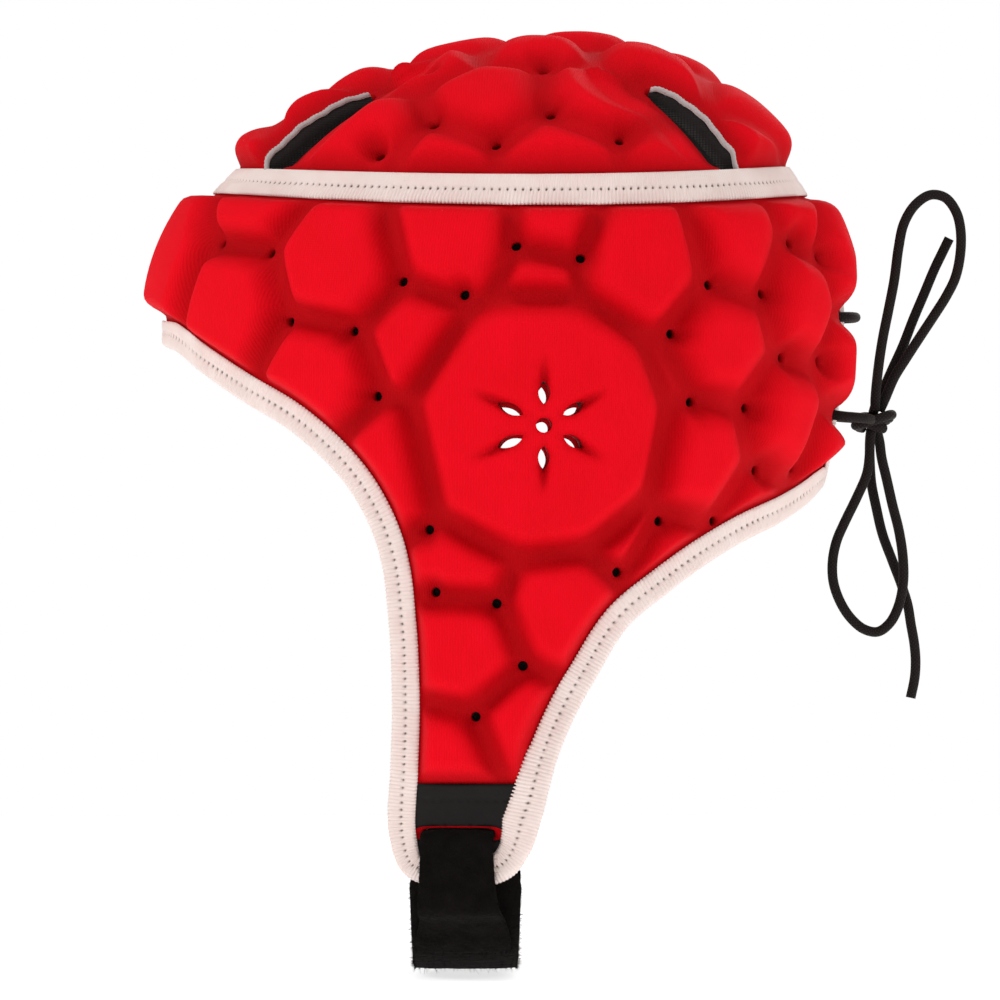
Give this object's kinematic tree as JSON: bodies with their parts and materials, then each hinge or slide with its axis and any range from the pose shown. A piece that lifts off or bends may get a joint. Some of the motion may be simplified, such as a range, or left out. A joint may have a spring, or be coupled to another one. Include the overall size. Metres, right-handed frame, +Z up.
{
  "type": "rugby scrum cap",
  "caption": "Padded head guard with sewn foam cells over crown and sides, ear vents, a nape slit closed by an elastic lace, and cheek flaps joined by a chin strap",
  "frame": {"origin": "the top of the wearer's head: the innermost point of the lining under the crown, on the mid-plane", "axes": "+Z up; the wearer faces -Y, so +Y is the back of the head; +X is the wearer's left"},
  "size_m": [0.179, 0.2461, 0.2807],
  "materials": {
    "padded_cover": "fine knitted polyester over foam cells, saturated red, matt",
    "lining": "thin knitted mesh, near black, matt",
    "ribbed_tape": "ribbed grosgrain tape, warm white, with a stitched middle",
    "patch": "grained leatherette, near black, satin",
    "strap": "brushed loop fabric, near black, fuzzy",
    "lace": "braided elastic cord, near black"
  },
  "bodies": {
    "root": {"crown_pad": "padded_cover", "side_pad": "padded_cover", "lining": "lining", "band_tape": "ribbed_tape", "edge_binding": "ribbed_tape", "slot_binding_front_left": "ribbed_tape", "slot_binding_front_right": "ribbed_tape", "slot_binding_back_left": "ribbed_tape", "slot_binding_back_right": "ribbed_tape", "flap_patch_left": "patch", "flap_patch_right": "patch", "chin_strap": "strap", "lace_run": "lace", "lace_knot": "lace", "lace_loop_up": "lace", "lace_loop_down": "lace", "lace_end_up": "lace", "lace_end_down": "lace"}
  },
  "joints": []
}
